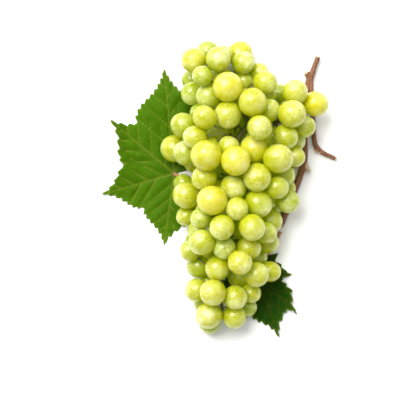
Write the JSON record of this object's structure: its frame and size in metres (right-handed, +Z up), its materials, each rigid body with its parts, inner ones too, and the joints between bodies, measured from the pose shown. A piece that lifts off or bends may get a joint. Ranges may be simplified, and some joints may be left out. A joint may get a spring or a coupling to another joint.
{
  "type": "bunch of grapes",
  "caption": "A lying bunch of white grapes on its branched stalk, with a piece of woody cane and two lobed vine leaves.",
  "frame": {"origin": "middle of the foot of the whole object's box, on the table", "axes": "+Y from the bunch's tail to its upper end, +Z up from the table, +X towards the side of the bunch where the cane lies"},
  "size_m": [0.1614, 0.2002, 0.0579],
  "materials": {
    "berry": "satin",
    "stalk": "matte",
    "cane": "matte",
    "leaf": "satin"
  },
  "bodies": {
    "root": {"berries_01": "berry", "berries_02": "berry", "berries_03": "berry", "berries_04": "berry", "berries_05": "berry", "berries_06": "berry", "berries_07": "berry", "berries_08": "berry", "berries_09": "berry", "berries_10": "berry", "berries_11": "berry", "berries_12": "berry", "berries_13": "berry", "berries_14": "berry", "berries_15": "berry", "berries_16": "berry", "berries_17": "berry", "berries_18": "berry", "berries_19": "berry", "berries_20": "berry", "berries_21": "berry", "berries_22": "berry", "berries_23": "berry", "berries_24": "berry", "berries_25": "berry", "berries_26": "berry", "berries_27": "berry", "berries_28": "berry", "berries_29": "berry", "berries_30": "berry", "berries_31": "berry", "berries_32": "berry", "berries_33": "berry", "berries_34": "berry", "berries_35": "berry", "berries_36": "berry", "berries_37": "berry", "berries_38": "berry", "berries_39": "berry", "berries_40": "berry", "berries_41": "berry", "berries_42": "berry", "berries_43": "berry", "berries_44": "berry", "berries_45": "berry", "berries_46": "berry", "berries_47": "berry", "berries_48": "berry", "berries_49": "berry", "berries_50": "berry", "berries_51": "berry", "berries_52": "berry", "berries_53": "berry", "berries_54": "berry", "berries_55": "berry", "berries_56": "berry", "stalk": "stalk", "cane": "cane", "leaf_left": "leaf", "leaf_lower": "leaf"}
  },
  "joints": []
}
